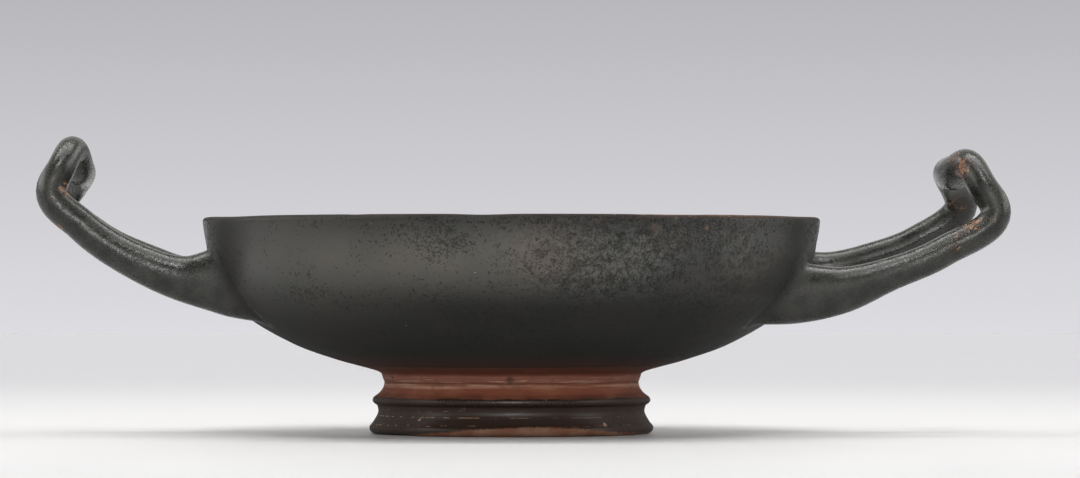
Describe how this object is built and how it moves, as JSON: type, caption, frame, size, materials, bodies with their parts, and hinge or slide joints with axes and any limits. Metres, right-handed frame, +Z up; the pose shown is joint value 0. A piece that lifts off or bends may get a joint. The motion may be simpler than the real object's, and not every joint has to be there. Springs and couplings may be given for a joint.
{
  "type": "kylix cup",
  "caption": "Shallow black-glazed drinking cup on a low moulded ring foot, with loop handles that rise past the rim and fold back inwards at their tips.",
  "frame": {"origin": "on the plane the foot rests on, below the middle of the cup's bounding box; the bowl's own axis stands 3.4 mm towards -X of it", "axes": "+Z up, the bowl's axis; +X along both handles, towards the one that reaches further out below its elbow; +Y away from the cup's front"},
  "size_m": [0.2672, 0.1708, 0.082],
  "materials": {
    "black_gloss": "black gloss slip with a soft sheen, worn and speckled with age, over orange-red clay that shows on the neck of the foot, under the foot and where the gloss is rubbed through"
  },
  "bodies": {
    "root": {"kylix_cup": "black_gloss"}
  },
  "joints": []
}
